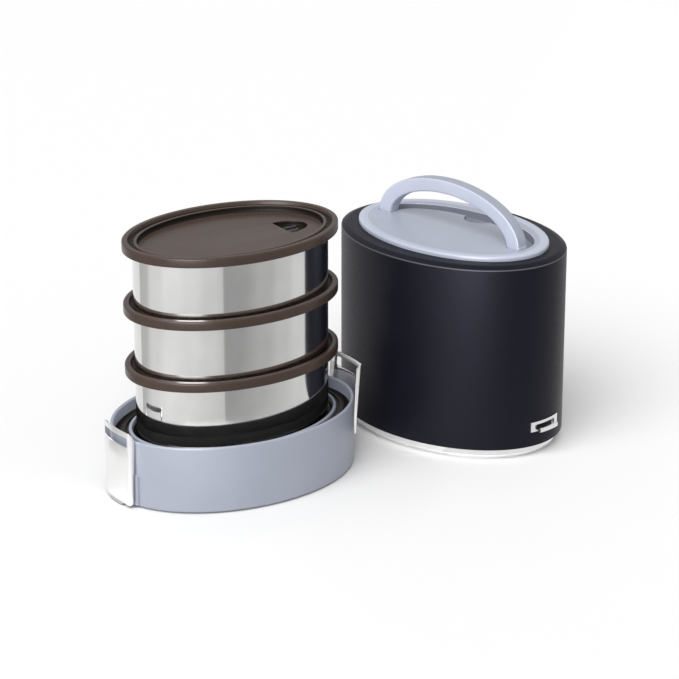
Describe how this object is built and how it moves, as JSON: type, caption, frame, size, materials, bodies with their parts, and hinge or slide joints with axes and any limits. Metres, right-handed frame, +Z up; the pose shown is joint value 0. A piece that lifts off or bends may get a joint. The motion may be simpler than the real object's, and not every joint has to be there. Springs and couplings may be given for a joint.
{
  "type": "tiffin carrier",
  "caption": "Oval insulated tiffin carrier, opened: base with steel clips and a stack of lidded steel containers, and a tall cover with a folding carrying handle beside it.",
  "frame": {"origin": "centre of the base's underside, on the table", "axes": "+Z up, +X along the base's long axis towards the cover, +Y across the base away from the viewer"},
  "size_m": [0.3455, 0.1894, 0.1833],
  "materials": {
    "lavender_plastic": "satin moulded polypropylene",
    "navy_paint": "fine matt powder coat",
    "brown_plastic": "satin moulded polypropylene",
    "dark_rubber": "smooth seal rubber",
    "silicone": "soft black silicone",
    "steel": "polished and fine brushed stainless steel",
    "foam": "closed-cell insulating foam"
  },
  "bodies": {
    "base": {"base_outer_shell": "lavender_plastic", "base_insulation": "foam", "base_bowl": "steel", "base_lip_ring": "lavender_plastic", "base_seal_ring": "dark_rubber", "clip_screws": "steel", "clip_bracket_left": "steel", "clip_bracket_right": "steel", "clip_fixed_pin_left": "steel", "clip_fixed_pin_right": "steel"},
    "clip_link_left": {"clip_link_left": "steel", "clip_plate_pin_left": "steel"},
    "clip_left": {"clip_plate_left": "steel"},
    "clip_link_right": {"clip_link_right": "steel", "clip_plate_pin_right": "steel"},
    "clip_right": {"clip_plate_right": "steel"},
    "container_1": {"container_1": "steel"},
    "lid_1": {"lid_1": "brown_plastic", "lid_seal_1": "silicone", "vent_plug_1": "silicone"},
    "container_2": {"container_2": "steel"},
    "lid_2": {"lid_2": "brown_plastic", "lid_seal_2": "silicone", "vent_plug_2": "silicone"},
    "container_3": {"container_3": "steel"},
    "lid_3": {"lid_3": "brown_plastic", "lid_seal_3": "silicone"},
    "vent_plug": {"vent_plug_3": "silicone"},
    "cover": {"cover_outer_shell": "navy_paint", "cover_insulation": "foam", "cover_liner": "steel", "cover_rim_ring": "steel", "cover_top_panel": "lavender_plastic", "panel_screws": "steel", "catch_front": "steel", "catch_rear": "steel", "handle_pins": "steel"},
    "handle": {"handle": "lavender_plastic"}
  },
  "joints": [
    {"name": "container_1_lift", "type": "slide", "parent": "base", "child": "container_1", "axis": [0, 0, 1], "range_m": [0, 0.06]},
    {"name": "lid_1_lift", "type": "slide", "parent": "container_1", "child": "lid_1", "axis": [0, 0, 1], "range_m": [0, 0.04]},
    {"name": "container_2_lift", "type": "slide", "parent": "lid_1", "child": "container_2", "axis": [0, 0, 1], "range_m": [0, 0.06]},
    {"name": "lid_2_lift", "type": "slide", "parent": "container_2", "child": "lid_2", "axis": [0, 0, 1], "range_m": [0, 0.04]},
    {"name": "container_3_lift", "type": "slide", "parent": "lid_2", "child": "container_3", "axis": [0, 0, 1], "range_m": [0, 0.06]},
    {"name": "lid_3_lift", "type": "slide", "parent": "container_3", "child": "lid_3", "axis": [0, 0, 1], "range_m": [0, 0.04]},
    {"name": "vent_plug_lift", "type": "slide", "parent": "lid_3", "child": "vent_plug", "axis": [0, 0, 1], "range_m": [0, 0.004]},
    {"name": "clip_left_swing", "type": "hinge", "parent": "base", "child": "clip_link_left", "pos_m": [-0.0924, 0, 0.02], "axis": [0, 1, 0], "range_deg": [0, 170]},
    {"name": "clip_left_turn", "type": "hinge", "parent": "clip_link_left", "child": "clip_left", "pos_m": [-0.0924, 0, 0.015], "axis": [0, 1, 0], "range_deg": [-170, 0]},
    {"name": "clip_right_swing", "type": "hinge", "parent": "base", "child": "clip_link_right", "pos_m": [0.0924, 0, 0.02], "axis": [0, 1, 0], "range_deg": [0, 170]},
    {"name": "clip_right_turn", "type": "hinge", "parent": "clip_link_right", "child": "clip_right", "pos_m": [0.0924, 0, 0.025], "axis": [0, 1, 0], "range_deg": [-170, 0]},
    {"name": "cover_lift", "type": "slide", "parent": "base", "child": "cover", "axis": [0, 0, 1], "range_m": [0, 0.2]},
    {"name": "handle_fold", "type": "hinge", "parent": "cover", "child": "handle", "pos_m": [0.182, -0.007, 0.1452], "axis": [-0.1994, 0.9799, 0], "range_deg": [0, 90]}
  ],
  "couplings": [
    {"joint": "clip_left_turn", "follows": "clip_left_swing", "ratio": -1},
    {"joint": "clip_right_turn", "follows": "clip_right_swing", "ratio": -1}
  ]
}
